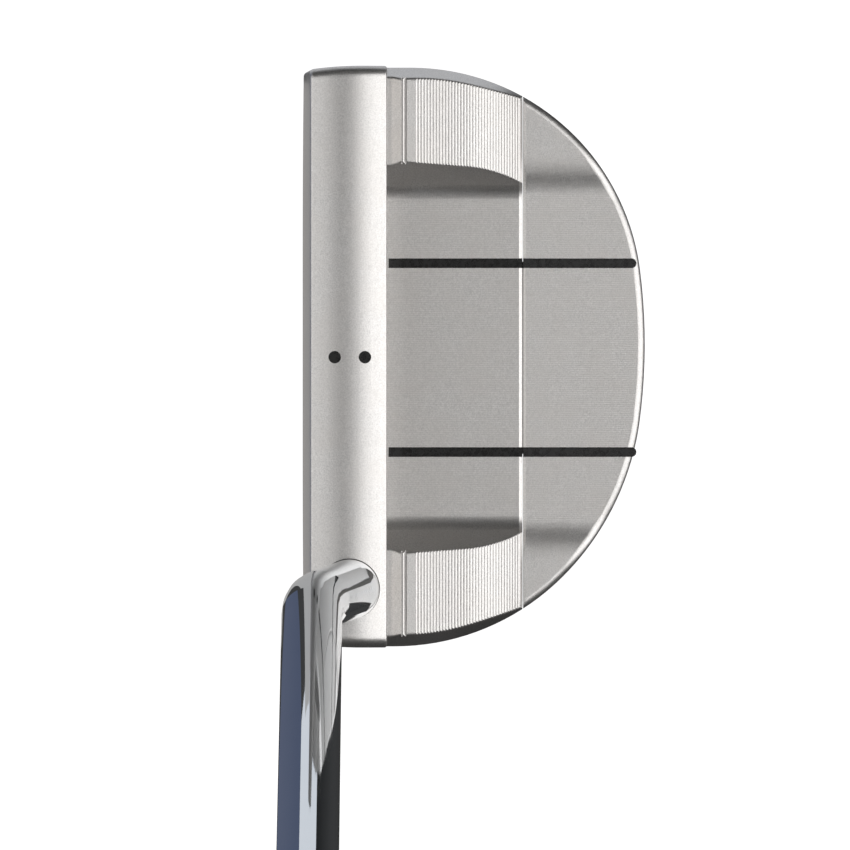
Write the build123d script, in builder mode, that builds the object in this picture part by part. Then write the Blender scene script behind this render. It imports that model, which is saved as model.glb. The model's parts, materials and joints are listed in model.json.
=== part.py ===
"""Mallet putter for a right-handed player: two-piece milled head, double-bend shaft, rubber grip.

Millimetres. The head sits square on the ground: the origin is the centre of the flat pad of the
sole, +Z is up, +Y runs from the striking face to the rear and +X from the toe to the heel.
"""

import os
from math import asin, atan, cos, degrees, radians, sin, sqrt, tan

from build123d import *

# ---- Head, plan view; depths are measured back from the leading edge ----
leading_edge_y = -20.0
toe_half_length = 48.2
heel_half_length = 48.0
end_curve_depth = 10.0
end_curve_step = 0.8
toe_shoulder_depth = 18.1
toe_shoulder_radius = 38.4
heel_shoulder_depth = 15.4
heel_shoulder_radius = 39.4
heel_rear_radius = 44.7
shoulder_turn = 82.6
heel_first_turn = 42.5
reach = 60.0
top_reach = 30.0

# ---- Head, side view ----
face_loft = 3.5
face_spare = 5.0
bar_front_height = 23.4
bar_crest_height = 24.3
bar_crest_depth = 7.2
bar_back_height = 23.1
bar_back_depth = 14.1
bar_end_radius = 1.9
face_edge_radius = 0.8
bar_back_edge_radius = 0.4
floor_height = 5.4
valley_rise = 5.2
valley_end_depth = 15.03
valley_blend_radius = 1.5
valley_end_x = 45.0
cheek_front_depth = 16.5
cheek_front_rise = 5.95
cheek_slope = 5.0
cheek_bend_depth = 27.0
cheek_end_rise = 1.63
cheek_rim_radius = 0.6
wall_lean = 20.0
lean_height = 6.2
rim_radius = 1.2

# ---- Joint between the front and rear bodies ----
joint_front_depth = 36.6
joint_back_depth = 36.75
front_joint_chamfer = 0.55
front_joint_chamfer_drop = 0.3
rear_joint_chamfer = 0.4
rear_joint_chamfer_drop = 0.22
rear_slope = 2.5
tongue_half_width = 16.0
tongue_front_depth = 25.0
tongue_thickness = 2.4
tongue_clearance = 0.05
body_screw_spacing = 10.0
body_screw_depth = 30.5
body_screw_radius = 2.0
body_screw_tip = 4.2
body_screw_head_radius = 3.6
body_screw_head_height = 1.5
body_screw_recess = 0.2
body_screw_hole_top = 4.4
body_screw_x = (-body_screw_spacing, 0, body_screw_spacing)
cone_top = body_screw_recess + body_screw_head_height

# ---- Channel behind the bar and its walls ----
floor_half_width = 25.75
wall_foot_radius = 3.8
wall_angle = 50.0
wall_length = 20.0
wall_rim_radius = 0.5
cheek_middle_height = 8.0
shelf_rise = 1.65
shelf_run = 8.8
shelf_foot_share = 0.42

# ---- Sole ----
pad_half_length = 18.0
pad_back_depth = 36.0
camber_radius = 142.0
relief_radius = 170.0
relief_turn = 20.0
sole_edge_radius = 0.75

# ---- Milled detail ----
step_groove = ((0.0, 0.1), (0.0, -0.45), (0.22, -0.45), (0.25, -0.03), (0.62, -0.25), (0.65, -0.5),
               (0.88, -0.5), (0.88, 0.1))
groove_count = 35
groove_first_run = 2.45
groove_pitch = 0.508
groove_width = 0.3
groove_cut = 0.1
sight_line_x = 15.7
sight_line_width = 1.6
sight_line_start = 14.35
sight_line_end = 55.6
sight_line_cut = 0.3
paint_edge_dip = 0.06
paint_middle_dip = 0.15
dot_radius = 1.03
dot_cut = 0.5
dot_dip = 0.1
dot_depths = {"front_dot": 5.5, "rear_dot": 10.5}

# ---- Weights in the sole, measured inwards from its surface ----
weight_x = {"toe": -35.0, "heel": 35.0}
weight_depth = 25.0
weight_radius = 7.0
weight_clearance = 0.05
weight_inset = 0.3
weight_thickness = 3.7
weight_edge_chamfer = 0.3
washer_radius = 6.8
washer_thickness = 0.5
weight_screw_radius = 2.0
weight_screw_clearance = 0.1
weight_screw_reach = 3.0
weight_screw_spare = 0.2
weight_screw_head_radius = 3.6
weight_screw_head_height = 2.2
weight_screw_inset = 0.2
socket_radius = 1.5
socket_cut = 1.2

# ---- Shaft ----
lie_angle = 70.0
club_length = 863.6
bore_x = 38.3
bore_depth = 7.93
bore_bottom = 7.5
tip_radius = 4.95
glue_gap = 0.1
glue_floor = 0.3
glue_top = 23.2
shaft_wall = 0.45
first_bend_height = 36.0
second_bend = (40.3, 2.0, 60.0)
bend_radii = (26.0, 30.0)
swept_run = 120.0
straight_before_steps = 220.0
step_count = 13
step_length = 22.0
step_taper = 1.0
butt_radius = 7.37

# ---- Grip ----
grip_length = 267.0
tape_thickness = 0.25
grip_corner_radius = 5.6
grip_sections = ((0.0, 9.6, 9.0, 9.6), (0.3, 10.3, 9.2, 10.6), (0.6, 11.6, 9.5, 13.0),
                 (0.85, 12.7, 9.8, 17.0), (1.0, 12.4, 9.8, 16.4))
cap_thickness = 5.0
cap_plug_length = 6.0
cap_edge_radius = 1.5
vent_radius = 1.6

os.makedirs("parts", exist_ok=True)


def finish(builder, name):
    """Labels a finished piece and writes it under its own name."""
    builder.part.label = name
    export_step(builder.part, f"parts/{name}.step")


# ---- Planes: sketches on the first two count depth from the leading edge ----
deck = Plane((0, leading_edge_y, 0))
side = Plane((0, leading_edge_y, 0), x_dir=(0, 1, 0), z_dir=(1, 0, 0))
rear_deck = Plane((0, leading_edge_y + joint_back_depth, floor_height), x_dir=(1, 0, 0),
                  z_dir=(0, sin(radians(rear_slope)), cos(radians(rear_slope))))


def cross_plane(depth):
    """Upright plane across the head at a depth, looking back: x is heelward and y is up."""
    return Plane((0, leading_edge_y + depth, 0), x_dir=(1, 0, 0), z_dir=(0, -1, 0))


def body_screw_plane(x):
    """Upright plane through a body screw's axis: x is the radius and y is up."""
    return Plane((x, leading_edge_y + body_screw_depth, 0), x_dir=(1, 0, 0), z_dir=(0, -1, 0))


def body_screw_axis(x):
    """The line that a body screw turns about."""
    return Axis((x, leading_edge_y + body_screw_depth, 0), (0, 0, 1))


def weight_plane(x):
    """Plane on the cambered sole at the middle of a weight, with its normal into the head."""
    run = abs(x) - pad_half_length
    lean = asin(run / camber_radius) * (1 if x > 0 else -1)
    height = camber_radius - sqrt(camber_radius**2 - run**2)
    return Plane((x, leading_edge_y + weight_depth, height), x_dir=(cos(lean), 0, sin(lean)),
                 z_dir=(-sin(lean), 0, cos(lean)))


# ---- Selectors ----
def is_upright(face):
    """True for a wall that stands up, the lofted face and the leaning walls included."""
    return abs(face.normal_at().Z) < 0.4


def is_top(face):
    """True for a face that looks up."""
    return face.normal_at().Z > 0.6


def is_underside(face):
    """True for a face of the sole."""
    return face.normal_at().Z < -0.8


def is_channel_wall(face):
    """True for a leaning wall of the channel."""
    return abs(face.normal_at().Z - cos(radians(wall_angle))) < 0.01


def is_at(shape, height):
    """True for an edge or a face whose middle is at a height."""
    return abs(shape.center().Z - height) < 0.01


def on_joint(edge, depth):
    """True for an edge along the upper side of the joint at a depth."""
    box = edge.bounding_box()
    flat = abs(edge.center().Y - leading_edge_y - depth) < 0.001 and box.size.Y < 0.001
    return flat and box.size.X > 0.2 and edge.center().Z > floor_height - 0.5


def shared_edges(some_faces, other_faces):
    """The edges where one group of faces meets another."""
    others = other_faces.edges()
    return [edge for edge in some_faces.edges() if edge in others]


# ---- Sight line sketches: the section of its paint, and its plan behind the joint ----
with BuildSketch() as paint_section:
    with BuildLine():
        paint_side = sight_line_width / 2
        paint_base = Polyline((-paint_side, -paint_edge_dip), (-paint_side, -sight_line_cut),
                              (paint_side, -sight_line_cut), (paint_side, -paint_edge_dip))
        ThreePointArc(paint_base @ 1, (0, -paint_middle_dip), paint_base @ 0)
    make_face()

rear_line_run = sight_line_end - joint_back_depth - sight_line_width / 2
with BuildSketch() as rear_line_plan:
    Rectangle(sight_line_width, rear_line_run, align=(Align.CENTER, Align.MIN))
    with Locations((0, rear_line_run)):
        Circle(sight_line_width / 2)

# ---- Sole form: flat pad between two camber arcs, rolled upwards behind the pad ----
camber_run = reach - pad_half_length
camber_lift = camber_radius - sqrt(camber_radius**2 - camber_run**2)
with BuildSketch(Plane.XY) as front_view:
    with BuildLine():
        pad = Line((-pad_half_length, 0), (pad_half_length, 0))
        heel_camber = TangentArc(pad @ 1, (reach, camber_lift), tangent=(1, 0))
        toe_camber = TangentArc(pad @ 0, (-reach, camber_lift), tangent=(-1, 0))
        Polyline(heel_camber @ 1, (reach, top_reach), (-reach, top_reach), toe_camber @ 1)
    make_face()

with BuildPart() as sole_form:
    with BuildSketch(cross_plane(-1)):
        add(front_view.sketch)
    extrude(amount=-(pad_back_depth + 1))
    with BuildSketch(cross_plane(pad_back_depth)):
        add(front_view.sketch)
    relief_axis = Axis((0, leading_edge_y + pad_back_depth, relief_radius), (1, 0, 0))
    revolve(axis=relief_axis, revolution_arc=relief_turn)

# ---- Outline of the head, seen from above ----
with BuildSketch() as outline:
    with BuildLine():
        toe_shoulder = (-toe_half_length, toe_shoulder_depth)
        heel_shoulder = (heel_half_length, heel_shoulder_depth)
        toe = JernArc(toe_shoulder, (0, 1), toe_shoulder_radius, -shoulder_turn)
        heel = JernArc(heel_shoulder, (0, 1), heel_shoulder_radius, heel_first_turn)
        heel_back = JernArc(heel @ 1, heel % 1, heel_rear_radius, shoulder_turn - heel_first_turn)
        TangentArc(toe @ 1, heel_back @ 1, tangent=toe % 1)
        toe_side = Line(toe_shoulder, (-toe_half_length, end_curve_depth))
        heel_side = Line(heel_shoulder, (heel_half_length, end_curve_depth))
        toe_end = TangentArc(toe_side @ 1, (end_curve_step - toe_half_length, 0), tangent=(0, -1))
        heel_end = TangentArc(heel_side @ 1, (heel_half_length - end_curve_step, 0), tangent=(0, -1))
        Line(toe_end @ 1, heel_end @ 1)
    make_face()

# ---- Blank: the outline prism cut to the lofted face and the sole form ----
with BuildPart() as blank:
    with BuildSketch(deck):
        add(outline.sketch)
    extrude(amount=bar_crest_height + 1)
    with BuildSketch(side):
        Polygon((0, -1), (0, 0), (top_reach * tan(radians(face_loft)), top_reach),
                (-face_spare, top_reach), (-face_spare, -1), align=None)
    extrude(amount=reach, both=True, mode=Mode.SUBTRACT)
    add(sole_form.part, mode=Mode.INTERSECT)


# ---- What the leaning outer walls of the cheeks lose ----
lean_rise = bar_crest_height - lean_height
with BuildPart() as lean_form:
    with BuildSketch(deck.offset(lean_height)):
        add(outline.sketch)
    extrude(amount=lean_rise, taper=wall_lean)

with BuildPart() as wall_cut:
    with BuildSketch(deck.offset(lean_height)):
        with Locations((0, bar_back_depth)):
            Rectangle(2 * reach, reach, align=(Align.CENTER, Align.MIN))
    extrude(amount=lean_rise)
    mirror(lean_form.part, about=deck.offset(lean_height), mode=Mode.SUBTRACT)


def cheek_height_at(depth):
    """Height of the straight front part of a cheek."""
    return floor_height + cheek_front_rise - (depth - cheek_front_depth) * tan(radians(cheek_slope))


def bar_height_at(depth):
    """Height of the bar's arched top."""
    return bar_top.arc_center.Y + sqrt(bar_top.radius**2 - (depth - bar_top.arc_center.X) ** 2)


# ---- Front body: the bar, the two cheeks behind it and the channel between them ----
with BuildPart() as front_body:
    add(blank.part)
    with BuildSketch(side):
        with BuildLine():
            face_top = (bar_front_height * tan(radians(face_loft)), bar_front_height)
            bar_top = ThreePointArc(face_top, (bar_crest_depth, bar_crest_height),
                                    (bar_back_depth, bar_back_height))
            bar_back = Line(bar_top @ 1, (bar_back_depth, cheek_height_at(bar_back_depth)))
            cheek_flat = Line(bar_back @ 1, (cheek_bend_depth, cheek_height_at(cheek_bend_depth)))
            cheek_bend = TangentArc(cheek_flat @ 1, (joint_front_depth, floor_height + cheek_end_rise),
                                    tangent=cheek_flat % 1)
            Polyline(cheek_bend @ 1, (joint_front_depth, -1), (-1, -1), (-1, bar_front_height), bar_top @ 0)
        make_face()
    extrude(amount=reach, both=True, mode=Mode.INTERSECT)
    bar_top_level = bar_back_height - bar_end_radius
    bar_ends = [edge for edge in front_body.edges() if edge.center().Z > bar_top_level
                and abs(edge.center().X) > heel_half_length - end_curve_step]
    fillet(bar_ends, radius=bar_end_radius)
    face = front_body.faces().sort_by(Axis.Y)[0]
    fillet([edge for edge in face.edges() if edge.center().Z > floor_height], radius=face_edge_radius)
    # The channel is open to the rear, with rounded feet under its leaning walls.
    with BuildSketch(cross_plane(bar_back_depth)):
        with BuildLine():
            floor = Line((-floor_half_width, floor_height), (floor_half_width, floor_height))
            heel_foot = JernArc(floor @ 1, (1, 0), wall_foot_radius, wall_angle)
            heel_wall = PolarLine(heel_foot @ 1, wall_length, direction=heel_foot % 1)
            toe_foot = JernArc(floor @ 0, (-1, 0), wall_foot_radius, -wall_angle)
            toe_wall = PolarLine(toe_foot @ 1, wall_length, direction=toe_foot % 1)
            Line(heel_wall @ 1, toe_wall @ 1)
        make_face()
    extrude(amount=-reach, mode=Mode.SUBTRACT)
    joint_edges = [edge for edge in front_body.edges() if on_joint(edge, joint_front_depth)]
    chamfer(joint_edges, length=front_joint_chamfer_drop, length2=front_joint_chamfer,
            reference=front_body.faces().sort_by(Axis.Y)[-1])
    add(wall_cut.part, mode=Mode.SUBTRACT)
    below_bar = front_body.faces().filter_by(lambda face: face.center().Z < bar_top_level)
    cheek_rims = shared_edges(below_bar.filter_by(is_top), front_body.faces().filter_by(is_upright))
    fillet([edge for edge in cheek_rims if edge.bounding_box().size.Y > 1], radius=cheek_rim_radius)
    walls = front_body.faces().filter_by(GeomType.PLANE).filter_by(is_channel_wall)
    cheek_tops = front_body.faces().filter_by(
        lambda face: is_top(face) and not is_channel_wall(face) and face.center().Z > cheek_middle_height)
    wall_rims = shared_edges(walls, cheek_tops)
    fillet([edge for edge in wall_rims if edge.bounding_box().size.Y > 1], radius=wall_rim_radius)
    # The valley behind the bar, with its ramp up to the cheeks.
    valley_height = floor_height + valley_rise
    ramp_top = floor_height + cheek_front_rise
    with BuildSketch(side):
        with BuildLine():
            ramp = FilletPolyline((bar_back_depth, valley_height), (valley_end_depth, valley_height),
                                  (cheek_front_depth, ramp_top), radius=valley_blend_radius)
            Polyline(ramp @ 1, (cheek_front_depth, ramp_top + 1), (bar_back_depth, ramp_top + 1), ramp @ 0)
        make_face()
    extrude(amount=reach, both=True, mode=Mode.SUBTRACT)
    valley = front_body.faces().filter_by(lambda face: is_at(face, valley_height)).filter_by(Axis.Z)
    valley_ends = [edge for edge in valley.edges() if abs(edge.center().X) > valley_end_x]
    fillet(valley_ends, radius=cheek_rim_radius)
    bar_back_edges = front_body.edges().filter_by(lambda edge: is_at(edge, bar_back_height))
    fillet(bar_back_edges.filter_by(Axis.X), radius=bar_back_edge_radius)
    rim = shared_edges(front_body.faces().filter_by(is_underside), front_body.faces().filter_by(is_upright))
    joint_y = leading_edge_y + joint_front_depth
    fillet([edge for edge in rim if edge.center().Y < joint_y - 0.1], radius=sole_edge_radius)
    # The step groove in front of the cheeks and the fine sawtooth grooves along them.
    cheek_line = Wire([cheek_flat, cheek_bend])
    with BuildSketch(side):
        with Locations((cheek_front_depth, ramp_top)):
            Polygon(*step_groove, align=None, rotation=-cheek_slope)
        for turn in range(groove_count):
            run = cheek_front_depth - bar_back_depth + groove_first_run + turn * groove_pitch
            start = cheek_line.position_at(run, PositionMode.LENGTH)
            heading = cheek_line.tangent_at(run, PositionMode.LENGTH)
            with Locations(Location((start.X, start.Y, 0), degrees(atan(heading.Y / heading.X)))):
                Polygon((0, 0), (groove_width, -groove_cut), (groove_width, groove_cut), align=None)
    extrude(amount=reach, both=True, mode=Mode.SUBTRACT)
    # Grooves for the sight lines and holes for the two dots.
    with BuildSketch(cross_plane(sight_line_start)):
        with Locations((-sight_line_x, floor_height), (sight_line_x, floor_height)):
            Rectangle(sight_line_width, 2 * sight_line_cut)
    extrude(amount=-reach, mode=Mode.SUBTRACT)
    for depth in dot_depths.values():
        with BuildSketch(deck.offset(bar_height_at(depth) - dot_cut)):
            with Locations((0, depth)):
                Circle(dot_radius)
        extrude(amount=reach, mode=Mode.SUBTRACT)
    # The shaft's bore.
    with BuildSketch(deck.offset(bore_bottom)):
        with Locations((bore_x, bore_depth)):
            Circle(tip_radius + glue_gap)
    extrude(amount=reach, mode=Mode.SUBTRACT)
    # The rebate for the rear body's tongue, and the threaded holes above it.
    with BuildSketch(deck.offset(-1)):
        with Locations((0, joint_front_depth)):
            Rectangle(2 * (tongue_half_width + tongue_clearance),
                      2 * (joint_front_depth - tongue_front_depth + tongue_clearance))
    extrude(amount=1 + tongue_thickness, mode=Mode.SUBTRACT)
    with BuildSketch(deck.offset(tongue_thickness)):
        with Locations((0, body_screw_depth)):
            with GridLocations(body_screw_spacing, 1, 3, 1):
                Circle(body_screw_radius)
    extrude(amount=body_screw_hole_top - tongue_thickness, mode=Mode.SUBTRACT)
    # The pockets and threaded holes of the two weights.
    pocket_cut = weight_inset + weight_thickness + washer_thickness
    for x in weight_x.values():
        with BuildSketch(weight_plane(x).offset(-1)):
            Circle(weight_radius + weight_clearance)
        extrude(amount=1 + pocket_cut, mode=Mode.SUBTRACT)
        with BuildSketch(weight_plane(x).offset(pocket_cut)):
            Circle(weight_screw_radius)
        extrude(amount=weight_screw_reach + weight_screw_spare, mode=Mode.SUBTRACT)
finish(front_body, "front_body")

# ---- Rear body: the low shelf behind the joint, with a tongue under the front body ----
shelf_turn = 2 * degrees(atan(shelf_rise / shelf_run))
shelf_radii = shelf_run / sin(radians(shelf_turn))
shelf_foot_radius = shelf_foot_share * shelf_radii
shelf_top_radius = shelf_radii - shelf_foot_radius
with BuildPart() as rear_body:
    add(blank.part)
    with BuildSketch(deck.offset(-1)):
        with Locations((0, joint_back_depth)):
            Rectangle(2 * reach, reach, align=(Align.CENTER, Align.MIN))
    extrude(amount=reach, mode=Mode.INTERSECT)
    with BuildSketch(cross_plane(joint_back_depth)):
        with BuildLine():
            rear_floor = Line((-floor_half_width, floor_height), (floor_half_width, floor_height))
            heel_rise = JernArc(rear_floor @ 1, (1, 0), shelf_foot_radius, shelf_turn)
            heel_round = JernArc(heel_rise @ 1, heel_rise % 1, shelf_top_radius, -shelf_turn)
            toe_rise = JernArc(rear_floor @ 0, (-1, 0), shelf_foot_radius, -shelf_turn)
            toe_round = JernArc(toe_rise @ 1, toe_rise % 1, shelf_top_radius, shelf_turn)
            shelf_height = (heel_round @ 1).Y
            Polyline(heel_round @ 1, (reach, shelf_height), (reach, top_reach), (-reach, top_reach),
                     (-reach, shelf_height), toe_round @ 1)
        make_face()
    extrude(amount=top_reach, dir=rear_deck.y_dir, mode=Mode.SUBTRACT)
    joint_edges = [edge for edge in rear_body.edges() if on_joint(edge, joint_back_depth)]
    chamfer(joint_edges, length=rear_joint_chamfer_drop, length2=rear_joint_chamfer,
            reference=rear_body.faces().sort_by(Axis.Y)[0])
    top_rims = shared_edges(rear_body.faces().filter_by(is_top), rear_body.faces().filter_by(is_upright))
    fillet([edge for edge in top_rims if edge.bounding_box().size.Y > 1], radius=rim_radius)
    rim = shared_edges(rear_body.faces().filter_by(is_underside), rear_body.faces().filter_by(is_upright))
    joint_y = leading_edge_y + joint_back_depth
    fillet([edge for edge in rim if edge.center().Y > joint_y + 0.1], radius=sole_edge_radius)
    with BuildSketch(Plane.XY):
        with Locations((0, leading_edge_y + tongue_front_depth)):
            Rectangle(2 * tongue_half_width, joint_back_depth - tongue_front_depth,
                      align=(Align.CENTER, Align.MIN))
    extrude(amount=tongue_thickness)
    # Countersunk holes through the tongue.
    for x in body_screw_x:
        with BuildSketch(body_screw_plane(x)):
            with BuildLine():
                Polyline((0, -1), (body_screw_head_radius, -1), (body_screw_head_radius, body_screw_recess),
                         (body_screw_radius, cone_top), (body_screw_radius, tongue_thickness + 1),
                         (0, tongue_thickness + 1), close=True)
            make_face()
        revolve(axis=body_screw_axis(x), mode=Mode.SUBTRACT)
    # Grooves for the sight lines, rounded where they run out at the rim.
    with BuildSketch(rear_deck.offset(-sight_line_cut)):
        with Locations((-sight_line_x, 0), (sight_line_x, 0)):
            add(rear_line_plan.sketch)
    extrude(amount=1, mode=Mode.SUBTRACT)
finish(rear_body, "rear_body")

# ---- Countersunk screws that hold the two bodies together, under the sole ----
with BuildPart() as body_screws:
    for x in body_screw_x:
        with BuildSketch(body_screw_plane(x)):
            with BuildLine():
                Polyline((0, body_screw_recess), (body_screw_head_radius, body_screw_recess),
                         (body_screw_radius, cone_top), (body_screw_radius, body_screw_tip),
                         (0, body_screw_tip), close=True)
            make_face()
        revolve(axis=body_screw_axis(x))
    with BuildSketch(deck.offset(body_screw_recess)):
        with Locations((0, body_screw_depth)):
            with GridLocations(body_screw_spacing, 1, 3, 1):
                RegularPolygon(socket_radius, 6)
    extrude(amount=socket_cut, mode=Mode.SUBTRACT)
finish(body_screws, "body_screws")

# ---- Paint in the sight lines: a run in each body, with a break at the joint ----
front_paint_run = joint_front_depth - sight_line_start
rear_section = Plane(rear_deck.origin, x_dir=(1, 0, 0), z_dir=-rear_deck.y_dir)
for name, x in (("toe_sight_line", -sight_line_x), ("heel_sight_line", sight_line_x)):
    with BuildPart() as rear_paint:
        with BuildSketch(rear_section):
            with Locations((x, 0)):
                add(paint_section.sketch)
        extrude(amount=-reach)
        with BuildSketch(rear_deck.offset(-2 * sight_line_cut)):
            with Locations((x, 0)):
                add(rear_line_plan.sketch)
        extrude(amount=3 * sight_line_cut, mode=Mode.INTERSECT)
    with BuildPart() as sight_line:
        with BuildSketch(cross_plane(sight_line_start)):
            with Locations((x, floor_height)):
                add(paint_section.sketch)
        extrude(amount=-front_paint_run)
        add(rear_paint.part)
    finish(sight_line, name)

# ---- Paint in the two dots on the bar ----
for name, depth in dot_depths.items():
    with BuildPart() as dot:
        with BuildSketch(deck.offset(bar_height_at(depth) - dot_cut)):
            with Locations((0, depth)):
                Circle(dot_radius)
        extrude(amount=dot_cut - dot_dip)
    finish(dot, name)

# ---- Weights, each with its screw and washer ----
weight_top = weight_inset + weight_thickness
for end, x in weight_x.items():
    outer = weight_plane(x)
    head_seat = weight_inset + weight_screw_inset + weight_screw_head_height
    with BuildPart() as weight:
        with BuildSketch(outer.offset(weight_inset)):
            Circle(weight_radius)
        extrude(amount=weight_thickness)
        with BuildSketch(outer.offset(weight_inset)):
            Circle(weight_screw_head_radius + weight_screw_clearance)
        extrude(amount=head_seat - weight_inset, mode=Mode.SUBTRACT)
        with BuildSketch(outer):
            Circle(weight_screw_radius + weight_screw_clearance)
        extrude(amount=weight_top, mode=Mode.SUBTRACT)
        chamfer(weight.faces().sort_by(Axis.Z)[0].outer_wire().edges(), length=weight_edge_chamfer)
    finish(weight, f"{end}_weight")
    with BuildPart() as washer:
        with BuildSketch(outer.offset(weight_top)):
            Circle(washer_radius)
            Circle(weight_screw_radius + weight_screw_clearance, mode=Mode.SUBTRACT)
        extrude(amount=washer_thickness)
    finish(washer, f"{end}_weight_washer")
    with BuildPart() as weight_screw:
        with BuildSketch(outer.offset(weight_inset + weight_screw_inset)):
            Circle(weight_screw_head_radius)
        extrude(amount=weight_screw_head_height)
        with BuildSketch(outer.offset(head_seat)):
            Circle(weight_screw_radius)
        extrude(amount=pocket_cut + weight_screw_reach - head_seat)
        with BuildSketch(outer.offset(weight_inset + weight_screw_inset)):
            RegularPolygon(socket_radius, 6)
        extrude(amount=socket_cut, mode=Mode.SUBTRACT)
    finish(weight_screw, f"{end}_weight_screw")

# ---- Epoxy that bonds the shaft into its bore ----
with BuildPart() as hosel_epoxy:
    with BuildSketch(deck.offset(bore_bottom)):
        with Locations((bore_x, bore_depth)):
            Circle(tip_radius + glue_gap)
    extrude(amount=glue_top - bore_bottom)
    with BuildSketch(deck.offset(bore_bottom + glue_floor)):
        with Locations((bore_x, bore_depth)):
            Circle(tip_radius)
    extrude(amount=reach, mode=Mode.SUBTRACT)
finish(hosel_epoxy, "hosel_epoxy")

# ---- Shaft: a tube through two bends, then steps of growing size up to the grip ----
axis_dir = Vector(cos(radians(lie_angle)), 0, sin(radians(lie_angle)))
bend_point = Vector(second_bend[0], leading_edge_y + second_bend[1], second_bend[2])
ground_run = second_bend[2] / sin(radians(lie_angle))
axis_length = club_length - ground_run
shaft_end = axis_length - cap_thickness


def axis_plane(run):
    """Plane across the shaft at a run above its second bend: x is rearwards, y is up off the flat."""
    return Plane(bend_point + axis_dir * run, x_dir=(0, 1, 0), z_dir=axis_dir)


axis_section = Plane(bend_point, x_dir=axis_plane(0).y_dir, z_dir=(0, 1, 0))
stepped = [(tip_radius, swept_run)]
for step in range(step_count):
    foot = straight_before_steps + step * step_length
    stepped.append((stepped[-1][0], foot))
    stepped.append((tip_radius + (butt_radius - tip_radius) * (step + 1) / step_count, foot + step_taper))
stepped.append((butt_radius, shaft_end))
inner = [(radius - shaft_wall, run) for radius, run in reversed(stepped)]
with BuildPart() as shaft:
    with BuildLine() as shaft_path:
        FilletPolyline((bore_x, leading_edge_y + bore_depth, bore_bottom + glue_floor),
                       (bore_x, leading_edge_y + bore_depth, first_bend_height),
                       bend_point, bend_point + axis_dir * swept_run, radius=bend_radii)
    with BuildSketch(Plane((bore_x, leading_edge_y + bore_depth, bore_bottom + glue_floor))):
        Circle(tip_radius)
        Circle(tip_radius - shaft_wall, mode=Mode.SUBTRACT)
    sweep()
    with BuildSketch(axis_section):
        with BuildLine():
            Polyline(*stepped, *inner, close=True)
        make_face()
    revolve(axis=Axis(bend_point, axis_dir))
finish(shaft, "shaft")

# ---- Grip: double-sided tape, the rubber sleeve with its flat front, and the butt cap ----
grip_start = axis_length - grip_length
bore_radius = butt_radius + tape_thickness
with BuildPart() as grip_tape:
    with BuildSketch(axis_plane(grip_start)):
        Circle(bore_radius)
        Circle(butt_radius, mode=Mode.SUBTRACT)
    extrude(amount=shaft_end - grip_start)
finish(grip_tape, "grip_tape")


def grip_section(half_width, front, back):
    """A D section: a flat front with rounded corners and a half-oval back."""
    corner_y = front - grip_corner_radius
    with BuildSketch() as section:
        with BuildLine():
            flat = Line((grip_corner_radius - half_width, front), (half_width - grip_corner_radius, front))
            TangentArc(flat @ 1, (half_width, corner_y), tangent=(1, 0))
            EllipticalCenterArc((0, corner_y), half_width, back + corner_y, start_angle=180, arc_size=180)
            TangentArc(flat @ 0, (-half_width, corner_y), tangent=(-1, 0))
        make_face()
    return section.sketch


with BuildPart() as grip_sleeve:
    for run_share, half_width, front, back in grip_sections:
        with BuildSketch(axis_plane(grip_start + run_share * (shaft_end - grip_start))):
            add(grip_section(half_width, front, back))
    loft()
    with BuildSketch(axis_plane(grip_start - 1)):
        Circle(bore_radius)
    extrude(amount=grip_length, mode=Mode.SUBTRACT)
finish(grip_sleeve, "grip_sleeve")

with BuildPart() as grip_cap:
    with BuildSketch(axis_plane(shaft_end)):
        add(grip_section(*grip_sections[-1][1:]))
    extrude(amount=cap_thickness)
    fillet(grip_cap.faces().sort_by(Axis(bend_point, axis_dir))[-1].edges(), radius=cap_edge_radius)
    with BuildSketch(axis_plane(shaft_end - cap_plug_length)):
        Circle(butt_radius - shaft_wall)
    extrude(amount=cap_plug_length)
    with BuildSketch(axis_plane(shaft_end - cap_plug_length)):
        Circle(vent_radius)
    extrude(amount=cap_plug_length + cap_thickness, mode=Mode.SUBTRACT)
finish(grip_cap, "grip_cap")
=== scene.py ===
"""Looks for the mallet putter: a material for every CAD node, a moulded rubber grip, and a soft studio.

Metres, in the row frame: the head rests on the ground with its face towards -Y and its toe towards -X.
"""

import json
import math

import bpy
import numpy as np
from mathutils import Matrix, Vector
from mathutils.bvhtree import BVHTree


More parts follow.
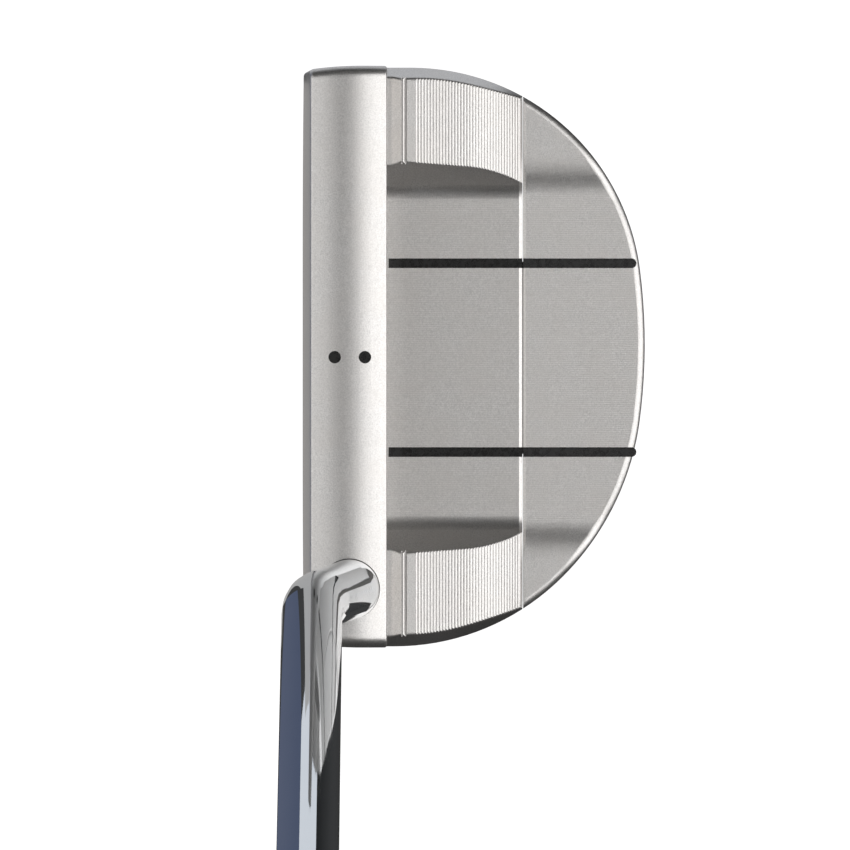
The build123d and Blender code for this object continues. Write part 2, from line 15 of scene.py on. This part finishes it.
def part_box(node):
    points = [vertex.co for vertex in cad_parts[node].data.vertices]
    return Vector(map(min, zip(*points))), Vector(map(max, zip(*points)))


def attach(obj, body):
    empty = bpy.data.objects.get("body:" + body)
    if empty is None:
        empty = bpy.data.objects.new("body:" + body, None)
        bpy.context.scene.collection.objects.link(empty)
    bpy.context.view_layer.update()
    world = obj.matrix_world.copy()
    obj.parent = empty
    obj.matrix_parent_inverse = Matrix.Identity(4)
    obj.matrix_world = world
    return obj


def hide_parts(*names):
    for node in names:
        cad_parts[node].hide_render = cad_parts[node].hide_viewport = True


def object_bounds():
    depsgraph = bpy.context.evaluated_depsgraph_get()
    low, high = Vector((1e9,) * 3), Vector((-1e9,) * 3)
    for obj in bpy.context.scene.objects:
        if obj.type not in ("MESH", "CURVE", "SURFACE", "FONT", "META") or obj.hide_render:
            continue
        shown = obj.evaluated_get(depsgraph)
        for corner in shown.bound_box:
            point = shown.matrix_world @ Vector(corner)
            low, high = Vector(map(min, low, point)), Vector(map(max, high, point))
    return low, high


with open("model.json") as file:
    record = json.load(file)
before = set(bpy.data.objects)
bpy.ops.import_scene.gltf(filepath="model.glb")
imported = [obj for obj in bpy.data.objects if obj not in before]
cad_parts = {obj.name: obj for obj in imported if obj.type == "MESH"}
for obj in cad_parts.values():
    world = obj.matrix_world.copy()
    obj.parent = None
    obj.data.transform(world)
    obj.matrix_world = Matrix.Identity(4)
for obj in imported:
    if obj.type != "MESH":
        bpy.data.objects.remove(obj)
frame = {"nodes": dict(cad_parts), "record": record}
cad_low, cad_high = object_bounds()

MM = 0.001
nodes = frame["nodes"]
front_low, front_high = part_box("front_body")
rear_low, rear_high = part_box("rear_body")
head_centre = (Vector(map(min, front_low, rear_low)) + Vector(map(max, front_high, rear_high))) / 2


# ---- Short names for building materials ----

def new_material(name):
    """An empty material, its node tree and its shader."""
    material = bpy.data.materials.new(name)
    material.use_nodes = True
    return material, material.node_tree, material.node_tree.nodes["Principled BSDF"]


def add(tree, kind, inputs=None, **settings):
    """A node of that kind, with its settings and its inputs: a value is set, a socket is linked."""
    node = tree.nodes.new(kind)
    for key, value in settings.items():
        setattr(node, key, value)
    for key, value in (inputs or {}).items():
        if isinstance(value, bpy.types.NodeSocket):
            tree.links.new(value, node.inputs[key])
        else:
            node.inputs[key].default_value = value
    return node


def place(tree, scale=(1, 1, 1), location=(0, 0, 0), rotation=(0, 0, 0)):
    """Object coordinates, moved to a place and stretched."""
    coordinates = add(tree, "ShaderNodeTexCoord").outputs["Object"]
    moved = {"Vector": coordinates, "Location": location, "Rotation": rotation, "Scale": scale}
    return add(tree, "ShaderNodeMapping", moved, vector_type="TEXTURE").outputs["Vector"]


def noise(tree, vector, size, detail=2.0, roughness=0.5, distortion=0.0):
    """Smooth noise whose blotches are about that size, in metres."""
    return add(tree, "ShaderNodeTexNoise", {
        "Vector": vector, "Scale": 1 / size, "Detail": detail, "Roughness": roughness,
        "Distortion": distortion}).outputs["Fac"]


def remap(tree, value, low, high, to_low, to_high, smooth=False):
    """The value's range from low to high, turned into the range from to_low to to_high."""
    inputs = {"Value": value, "From Min": low, "From Max": high, "To Min": to_low, "To Max": to_high}
    kind = "SMOOTHSTEP" if smooth else "LINEAR"
    return add(tree, "ShaderNodeMapRange", inputs, interpolation_type=kind).outputs["Result"]


def maths(tree, operation, *values):
    """A sum, product or other function of one or more values."""
    node = add(tree, "ShaderNodeMath", operation=operation)
    for socket, value in zip(node.inputs, values):
        if isinstance(value, bpy.types.NodeSocket):
            tree.links.new(value, socket)
        else:
            socket.default_value = value
    return node.outputs["Value"]


def blend_colours(tree, factor, first, second):
    """A colour between two colours."""
    node = add(tree, "ShaderNodeMix", data_type="RGBA")
    for name, value in (("Factor_Float", factor), ("A_Color", first), ("B_Color", second)):
        socket = next(s for s in node.inputs if s.identifier == name)
        if isinstance(value, bpy.types.NodeSocket):
            tree.links.new(value, socket)
        else:
            socket.default_value = value
    return next(s for s in node.outputs if s.identifier == "Result_Color")


def bump(tree, height, depth, normal=None):
    """The surface's normal after a relief of that depth, in metres."""
    inputs = {"Height": height, "Distance": depth, "Strength": 1.0}
    if normal is not None:
        inputs["Normal"] = normal
    return add(tree, "ShaderNodeBump", inputs).outputs["Normal"]


def grey(level, warmth=0.0):
    """A grey colour with its alpha; warmth above 0 leans to yellow and below 0 to blue."""
    return (level * (1 + warmth), level, level * (1 - warmth), 1.0)


def facing(tree, axis, low, high):
    """1 where the surface faces along that axis of the row frame, and 0 where it turns away."""
    normal = add(tree, "ShaderNodeTexCoord").outputs["Normal"]
    parts = add(tree, "ShaderNodeSeparateXYZ", {"Vector": normal})
    return remap(tree, parts.outputs[axis], low, high, 0.0, 1.0)


# ---- Materials ----

def head_metal():
    """Bead-blasted stainless steel: fine grain all over, milling lines on the floor and on the face."""
    material, tree, shader = new_material("head_metal")
    here = place(tree)
    cloud = noise(tree, here, 6 * MM, detail=3.0)
    grain = noise(tree, here, 0.22 * MM, detail=2.0, roughness=0.6)
    speck = noise(tree, here, 0.5 * MM, detail=1.0)

    position = add(tree, "ShaderNodeSeparateXYZ", {"Vector": here})
    floor_top = 6.6 * MM
    low_down = maths(tree, "LESS_THAN", position.outputs["Z"], floor_top)
    floor = maths(tree, "MULTIPLY", low_down, facing(tree, "Z", 0.985, 0.995))
    floor_line = add(tree, "ShaderNodeTexWave", {
        "Vector": here, "Scale": math.pi / (10 * 0.36 * MM), "Distortion": 1.5, "Detail": 1.0,
        "Detail Scale": 0.4}, wave_type="BANDS", bands_direction="X")
    floor_line = maths(tree, "MULTIPLY", floor_line.outputs["Fac"], floor)

    striking_face = facing(tree, "Y", -0.985, -0.995)
    cutter = place(tree, location=(0.0, 0.0, -55 * MM))
    face_line = add(tree, "ShaderNodeTexWave", {
        "Vector": cutter, "Scale": math.pi / (10 * 0.7 * MM), "Distortion": 0.3, "Detail": 1.0},
        wave_type="RINGS", rings_direction="Y")
    face_line = maths(tree, "MULTIPLY", face_line.outputs["Fac"], striking_face)

    tone = remap(tree, grain, 0.3, 0.7, 0.0, 1.0)
    colour = blend_colours(tree, tone, grey(0.52, 0.022), grey(0.72, 0.022))
    colour = blend_colours(tree, remap(tree, cloud, 0.35, 0.65, 0.0, 0.35), colour, grey(0.60, 0.045))
    colour = blend_colours(tree, maths(tree, "MULTIPLY", floor_line, 0.3), colour, grey(0.52, 0.03))
    tree.links.new(colour, shader.inputs["Base Color"])
    dull = remap(tree, speck, 0.3, 0.7, 0.36, 0.42)
    dull = maths(tree, "ADD", dull, maths(tree, "MULTIPLY", floor_line, 0.05))
    dull = maths(tree, "ADD", dull, maths(tree, "MULTIPLY", floor, 0.14))
    tree.links.new(dull, shader.inputs["Roughness"])
    blasted = bump(tree, grain, 0.012 * MM)
    cut_marks = maths(tree, "ADD", maths(tree, "MULTIPLY", floor_line, 0.5), face_line)
    milled = bump(tree, cut_marks, 0.02 * MM, blasted)
    tree.links.new(milled, shader.inputs["Normal"])
    shader.inputs["Metallic"].default_value = 1.0
    return material


def chrome():
    """Bright plating: nearly a mirror, with faint lengthwise haze and fine handling marks."""
    material, tree, shader = new_material("shaft_chrome")
    here = place(tree)
    haze = noise(tree, here, 9 * MM, detail=4.0)
    marks = noise(tree, place(tree, scale=(1.0, 1.0, 8.0)), 0.6 * MM, detail=3.0, roughness=0.7)
    colour = blend_colours(tree, haze, grey(0.80, -0.05), grey(0.86, -0.035))
    tree.links.new(colour, shader.inputs["Base Color"])
    polish = remap(tree, haze, 0.3, 0.7, 0.02, 0.05)
    polish = maths(tree, "ADD", polish, remap(tree, marks, 0.6, 0.8, 0.0, 0.03))
    tree.links.new(polish, shader.inputs["Roughness"])
    tree.links.new(bump(tree, marks, 0.0006 * MM), shader.inputs["Normal"])
    shader.inputs["Metallic"].default_value = 1.0
    return material


def turned_steel(name, node, level, ring_pitch):
    """Lathe-turned steel: fine rings round the node's own middle."""
    material, tree, shader = new_material(name)
    low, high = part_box(node)
    middle = (low + high) / 2
    centred = place(tree, location=middle)
    rings = add(tree, "ShaderNodeTexWave", {
        "Vector": centred, "Scale": math.pi / (10 * ring_pitch), "Distortion": 0.4, "Detail": 2.0},
        wave_type="RINGS", rings_direction="Z").outputs["Fac"]
    grain = noise(tree, centred, 0.25 * MM, detail=2.0)
    stain = noise(tree, centred, 4 * MM, detail=3.0)
    tone = remap(tree, stain, 0.3, 0.7, 0.0, 1.0)
    colour = blend_colours(tree, tone, grey(level * 0.9, 0.01), grey(level * 1.08, 0.01))
    tree.links.new(colour, shader.inputs["Base Color"])
    tree.links.new(remap(tree, grain, 0.3, 0.7, 0.24, 0.36), shader.inputs["Roughness"])
    relief = maths(tree, "ADD", rings, maths(tree, "MULTIPLY", grain, 0.4))
    tree.links.new(bump(tree, relief, 0.006 * MM), shader.inputs["Normal"])
    shader.inputs["Metallic"].default_value = 1.0
    return material


def black_paint():
    """Enamel filled into the machined recesses: dark, with a soft gloss and a faint orange peel."""
    material, tree, shader = new_material("black_paint")
    here = place(tree)
    peel = noise(tree, here, 0.9 * MM, detail=2.0)
    dust = noise(tree, here, 0.2 * MM, detail=1.0)
    dusty = remap(tree, dust, 0.55, 0.75, 0.0, 1.0)
    colour = blend_colours(tree, dusty, grey(0.012, 0.03), grey(0.022, 0.03))
    tree.links.new(colour, shader.inputs["Base Color"])
    tree.links.new(remap(tree, peel, 0.3, 0.7, 0.22, 0.34), shader.inputs["Roughness"])
    tree.links.new(bump(tree, peel, 0.01 * MM), shader.inputs["Normal"])
    return material


def moulded(name, level, roughness, grain_size, grain_depth):
    """Rubber or plastic from a mould: matte, with a fine grain and slightly shiny worn spots."""
    material, tree, shader = new_material(name)
    here = place(tree)
    grain = noise(tree, here, grain_size, detail=3.0, roughness=0.6)
    wear = noise(tree, here, 14 * MM, detail=4.0, roughness=0.6)
    worn = remap(tree, wear, 0.35, 0.7, 0.0, 1.0)
    colour = blend_colours(tree, worn, grey(level), grey(level * 1.5, 0.02))
    tree.links.new(colour, shader.inputs["Base Color"])
    dull = maths(tree, "SUBTRACT", remap(tree, grain, 0.3, 0.7, roughness - 0.05, roughness + 0.08),
                 remap(tree, wear, 0.5, 0.75, 0.0, 0.12))
    tree.links.new(dull, shader.inputs["Roughness"])
    tree.links.new(bump(tree, grain, grain_depth), shader.inputs["Normal"])
    return material


def adhesive_tape():
    """Pale double-sided tape: a fine paper crepe."""
    material, tree, shader = new_material("tape")
    here = place(tree)
    crepe = noise(tree, place(tree, scale=(4.0, 4.0, 1.0)), 0.4 * MM, detail=3.0)
    stain = noise(tree, here, 8 * MM, detail=2.0)
    aged = remap(tree, stain, 0.3, 0.7, 0.0, 1.0)
    colour = blend_colours(tree, aged, (0.70, 0.66, 0.55, 1.0), (0.62, 0.57, 0.46, 1.0))
    tree.links.new(colour, shader.inputs["Base Color"])
    tree.links.new(remap(tree, crepe, 0.3, 0.7, 0.7, 0.9), shader.inputs["Roughness"])
    tree.links.new(bump(tree, crepe, 0.03 * MM), shader.inputs["Normal"])
    return material


def paint_nodes():
    """Gives every CAD node the material of its slot."""
    metal = head_metal()
    enamel = black_paint()
    rubber = moulded("grip_rubber", 0.022, 0.62, 0.35 * MM, 0.02 * MM)
    plain = {
        "front_body": metal, "rear_body": metal,
        "toe_sight_line": enamel, "heel_sight_line": enamel, "front_dot": enamel, "rear_dot": enamel,
        "shaft": chrome(),
        "hosel_epoxy": moulded("epoxy", 0.03, 0.3, 0.5 * MM, 0.005 * MM),
        "grip_tape": adhesive_tape(), "grip_sleeve": rubber, "grip_cap": rubber,
        "body_screws": turned_steel("screw_steel", "body_screws", 0.33, 0.3 * MM),
    }
    washer = moulded("washer_plastic", 0.03, 0.5, 0.3 * MM, 0.01 * MM)
    for side in ("toe", "heel"):
        weight, screw = f"{side}_weight", f"{side}_weight_screw"
        plain[f"{side}_weight_washer"] = washer
        plain[weight] = turned_steel(f"{side}_weight_metal", weight, 0.52, 0.24 * MM)
        plain[screw] = turned_steel(f"{side}_screw_steel", screw, 0.36, 0.2 * MM)
    for name, material in plain.items():
        node = nodes[name]
        node.data.materials.clear()
        node.data.materials.append(material)
    return rubber


# ---- Grip: the rubber sleeve with its moulded relief ----

def smooth_step(value, low, high):
    """0 below low, 1 above high, and a smooth rise between them."""
    share = np.clip((value - low) / (high - low), 0, 1)
    return share * share * (3 - 2 * share)


def between(run, start, end, blend):
    """1 between two places along the grip and 0 outside them, with smooth ends of that length."""
    return smooth_step(run, start, start + blend) * smooth_step(-run, -end, blend - end)


def groove(distance, width):
    """1 in the middle of a groove of that width, falling smoothly to 0 at its edges."""
    return 1 - smooth_step(np.abs(distance), 0.15 * width, 0.5 * width)


def grip_relief(run, round_front, round_back, flat_half, length):
    """How far the surface lies below the sleeve's outer shape. All in millimetres."""
    panel_start, panel_end = 16.0, length - 14.0
    low_ring, high_ring = 7.0, length - 8.0
    # The thumb panel: a sunken flat with staggered pits.
    panel = smooth_step(flat_half - 0.4 - np.abs(round_front), 0.0, 0.7)
    panel = panel * between(run, panel_start, panel_end, 0.8)
    pitch = 2.6
    row = np.floor(run / pitch)
    across = np.mod(round_front + 0.5 * pitch * np.mod(row, 2) + 0.5 * pitch, pitch) - 0.5 * pitch
    along = np.mod(run, pitch) - 0.5 * pitch
    pits = 1 - smooth_step(np.hypot(across, along), 0.35, 0.85)
    relief = panel * (0.25 + 0.4 * pits)
    # The back and the sides: crossed grooves that leave small diamonds.
    wrap = smooth_step(np.abs(round_front) - flat_half, 3.6, 4.6)
    wrap = wrap * between(run, panel_start, panel_end, 1.0)
    diamond, lean = 4.2, 0.62
    for sign in (1, -1):
        line = lean * round_back * sign + run * (1 - lean) * 1.2
        offset = np.mod(line + 0.5 * diamond * lean, diamond * lean) - 0.5 * diamond * lean
        relief = np.maximum(relief, wrap * 0.4 * groove(offset, 0.95))
    # Border lines beside the flat, and a ring near each end.
    edge_line = groove(np.abs(round_front) - flat_half - 2.4, 0.9)
    relief = np.maximum(relief, 0.35 * edge_line * between(run, low_ring, high_ring, 1.0))
    for ring in (low_ring, high_ring):
        relief = np.maximum(relief, 0.45 * groove(run - ring, 1.3))
    return relief


def build_grip(rubber):
    """The sleeve as one closed mesh: its outer wall follows the CAD sleeve and its bore the tape."""
    mount = next(m for m in frame["record"]["mounts"] if m["name"] == "grip")
    axis, origin = Vector(mount["axis"]).normalized(), Vector(mount["pos_m"])
    side = Vector((0, 1, 0))
    front = axis.cross(side)
    source = nodes["grip_sleeve"].data
    points = [vertex.co for vertex in source.vertices]
    tree = BVHTree.FromPolygons(points, [polygon.vertices[:] for polygon in source.polygons])
    runs = [(point - origin).dot(axis) for point in points]
    start, end = min(runs), max(runs)
    length = (end - start) / MM

    ring_count, point_count, ray_count = 540, 148, 240
    angles = np.linspace(0, 2 * math.pi, ray_count, endpoint=False)
    run = np.linspace(0, length, ring_count)
    reach = 0.04
    inset = 0.02 * MM
    radii = np.zeros((ring_count, ray_count))
    for i, here in enumerate(run):
        along = min(max(here * MM + start, start + inset), end - inset)
        centre = origin + axis * along
        for j, angle in enumerate(angles):
            way = front * math.cos(angle) + side * math.sin(angle)
            hit = tree.ray_cast(centre + way * reach, -way)
            radii[i, j] = reach - hit[3]
    radii = smooth_rows(smooth_rows(radii.T, 3, wrap=True).T, 5, wrap=False) / MM

    # Points at equal steps round each ring, starting at the middle of the flat front.
    outline = np.stack([radii * np.cos(angles), radii * np.sin(angles)], axis=2)
    closed = np.concatenate([outline, outline[:, :1]], axis=1)
    steps = np.linalg.norm(np.diff(closed, axis=1), axis=2)
    walked = np.concatenate([np.zeros((ring_count, 1)), np.cumsum(steps, axis=1)], axis=1)
    perimeter = walked[:, -1]
    share = np.linspace(0, 1, point_count, endpoint=False)
    ring = np.zeros((ring_count, point_count, 2))
    for i in range(ring_count):
        for k in range(2):
            ring[i, :, k] = np.interp(share * perimeter[i], walked[i], closed[i, :, k])
    ahead, behind = np.roll(ring, -1, axis=1), np.roll(ring, 1, axis=1)
    tangent = ahead - behind
    tangent /= np.linalg.norm(tangent, axis=2, keepdims=True)
    outward = np.stack([tangent[..., 1], -tangent[..., 0]], axis=2)

    round_front = share[None, :] * perimeter[:, None]
    round_front = np.where(share[None, :] > 0.5, round_front - perimeter[:, None], round_front)
    round_back = 0.5 * perimeter[:, None] - np.abs(round_front)
    round_back = round_back * np.sign(round_front + 1e-9)
    corner_radius = 5.6
    flat_half = np.max(np.abs(ring[..., 1]), axis=1)[:, None] - corner_radius
    spread_run = np.broadcast_to(run[:, None], round_front.shape)
    depth = grip_relief(spread_run, round_front, round_back, flat_half, length)
    lip = 0.8
    near_mouth = np.clip((lip - spread_run) / lip, 0, 1)
    depth = depth + lip * (1 - np.sqrt(1 - near_mouth ** 2))
    ring = ring - outward * depth[..., None]

    tape = [vertex.co - origin for vertex in nodes["grip_tape"].data.vertices]
    bore = max((point - axis * point.dot(axis)).length for point in tape)
    across_axes = np.array([front, side])
    middle_line = np.array(origin)[None, :] + (run[:, None] * MM + start) * np.array(axis)[None, :]
    outer = middle_line[:, None, :] + (ring * MM) @ across_axes
    direction = ring / np.linalg.norm(ring, axis=2, keepdims=True)
    inner = middle_line[:, None, :] + (direction * bore) @ across_axes
    inner_rows = inner[[-1, 0]]
    rows = np.concatenate([outer, inner_rows])
    vertices = rows.reshape(-1, 3)
    row_count = len(rows)
    # Each row of points joins the next one, and the last joins the first.
    quads = []
    for i in range(row_count):
        for j in range(point_count):
            a = i * point_count + j
            b = i * point_count + (j + 1) % point_count
            c = (i + 1) % row_count * point_count
            quads.append((a, b, c + (j + 1) % point_count, c + j))
    mesh = bpy.data.meshes.new("grip")
    mesh.from_pydata(vertices.tolist(), [], quads)
    mesh.update()
    grip = bpy.data.objects.new("grip", mesh)
    bpy.context.scene.collection.objects.link(grip)
    mesh.polygons.foreach_set("use_smooth", [True] * len(mesh.polygons))
    crease = math.radians(50)
    mesh.set_sharp_from_angle(angle=crease)
    mesh.materials.append(rubber)
    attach(grip, "root")
    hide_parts("grip_sleeve")
    return grip


def smooth_rows(values, width, wrap):
    """Each column averaged over that many rows, to take out the facets of the CAD mesh."""
    half = width // 2
    mode = "wrap" if wrap else "edge"
    padded = np.pad(values, ((half, half), (0, 0)), mode=mode)
    return sum(padded[k:k + len(values)] for k in range(width)) / width


# ---- Studio ----

def soft_box(name, location, target, width, height, radiance, colour=(1.0, 1.0, 1.0)):
    """A rectangular soft light that faces the target. Radiance 1 reflects as white."""
    light = bpy.data.lights.new(name, "AREA")
    light.shape = "RECTANGLE"
    light.size, light.size_y = width, height
    light.energy = math.pi * width * height * radiance
    light.color = colour
    box = bpy.data.objects.new(name, light)
    bpy.context.scene.collection.objects.link(box)
    box.location = location
    box.rotation_euler = (Vector(target) - Vector(location)).to_track_quat("-Z", "Y").to_euler()
    box.visible_camera = False
    return box


def build_floor():
    """A plain white table, lit a little from within, so that it shows almost no shadow."""
    half = 40.0
    mesh = bpy.data.meshes.new("table")
    corners = [(-half, -half, 0), (half, -half, 0), (half, half, 0), (-half, half, 0)]
    mesh.from_pydata(corners, [], [(0, 1, 2, 3)])
    table = bpy.data.objects.new("table", mesh)
    bpy.context.scene.collection.objects.link(table)
    clearance = 0.05 * MM
    table.location.z = cad_low.z - clearance
    material, tree, shader = new_material("table_white")
    shader.inputs["Base Color"].default_value = grey(0.35)
    shader.inputs["Roughness"].default_value = 0.8
    shader.inputs["Emission Color"].default_value = grey(1.0)
    shader.inputs["Emission Strength"].default_value = 0.93
    mesh.materials.append(material)
    table.visible_glossy = False


def build_world():
    """A dim grey room, shown white behind the table's far edge."""
    world = bpy.data.worlds.new("studio")
    bpy.context.scene.world = world
    world.use_nodes = True
    tree = world.node_tree
    room = tree.nodes["Background"]
    room.inputs["Color"].default_value = grey(0.05)
    backdrop = add(tree, "ShaderNodeBackground", {"Color": grey(1.0), "Strength": 1.0})
    direct = add(tree, "ShaderNodeLightPath").outputs["Is Camera Ray"]
    mixed = add(tree, "ShaderNodeMixShader", {0: direct, 1: room.outputs[0], 2: backdrop.outputs[0]})
    tree.links.new(mixed.outputs[0], tree.nodes["World Output"].inputs["Surface"])


def reflector(name, corners, height, radiance, colour):
    """A flat glowing card that only shows in reflections."""
    mesh = bpy.data.meshes.new(name)
    mesh.from_pydata([(x, y, height) for x, y in corners], [], [tuple(range(len(corners)))])
    card = bpy.data.objects.new(name, mesh)
    bpy.context.scene.collection.objects.link(card)
    material, tree, shader = new_material(name)
    shader.inputs["Base Color"].default_value = grey(0.0)
    shader.inputs["Emission Color"].default_value = colour
    shader.inputs["Emission Strength"].default_value = radiance
    mesh.materials.append(material)
    card.visible_camera = False
    card.visible_diffuse = False
    card.visible_shadow = False


def build_studio():
    """Two tall soft boxes, before and behind the head, with a dark gap above it and dark ends."""
    build_floor()
    build_world()
    lean = Vector((0, 0.766, 0.645))
    box_width, box_height, box_away, box_level = 1.3, 2.48, 1.1, 0.55
    for name, turn, radiance in (("front_box", -1, 1.0), ("rear_box", 1, 1.9)):
        centre = Vector((0, box_away * turn, box_level))
        target = centre - Vector((0, lean.y * turn, lean.z))
        soft_box(name, centre, target, box_width, box_height, radiance)
    # Cards below the table: a fan and two wings for the shaft, and a strip before the face.
    middle, near, far = -18 * MM, -0.055, -0.30
    near_half, far_half, wing = 0.036, 0.17, 0.25
    heel_end, heel_half = 0.08, 0.03
    fan_level, wing_level, strip_level = -0.02, -0.021, -0.001
    strip_half, strip_front, strip_back = 0.046, -0.036, -0.0205
    pale_blue, deep_blue = (0.92, 0.95, 1.0, 1.0), (0.5, 0.62, 1.0, 1.0)
    fan = ((near, middle - near_half), (near, middle + near_half),
           (far, middle + far_half), (far, middle - far_half))
    reflector("toe_card", fan, fan_level, 0.76, pale_blue)
    wings = (("front_wing", -1, 0.15, deep_blue), ("rear_wing", 1, 0.012, pale_blue))
    for name, side, radiance, colour in wings:
        corners = ((heel_end, middle + side * heel_half), (near, middle + side * near_half),
                   (far, middle + side * far_half), (far, middle + side * (far_half + wing)),
                   (heel_end, middle + side * (heel_half + wing)))
        reflector(name, corners, wing_level, radiance, colour)
    strip = ((-strip_half, strip_front), (strip_half, strip_front),
             (strip_half, strip_back), (-strip_half, strip_back))
    reflector("face_card", strip, strip_level, 0.4, grey(1.0, 0.02))
    bpy.context.scene.view_settings.view_transform = "Standard"


def build_camera():
    """A long lens straight above the head, with the toe up and the face to the left."""
    distance, sensor, span = 2.85, 36.0, 140.5
    aim_x, aim_y, target_height = 11.3 * MM, -8.1 * MM, 22 * MM
    camera = bpy.data.cameras.new("camera")
    camera.sensor_width = sensor
    camera.lens = distance / MM * sensor / span
    camera.clip_end = 100.0
    seat = bpy.data.objects.new("camera", camera)
    bpy.context.scene.collection.objects.link(seat)
    seat.location = (head_centre.x + aim_x, head_centre.y + aim_y, distance + target_height)
    seat.rotation_euler = (0, 0, math.radians(90))
    bpy.context.scene.camera = seat


build_grip(paint_nodes())
build_studio()
build_camera()
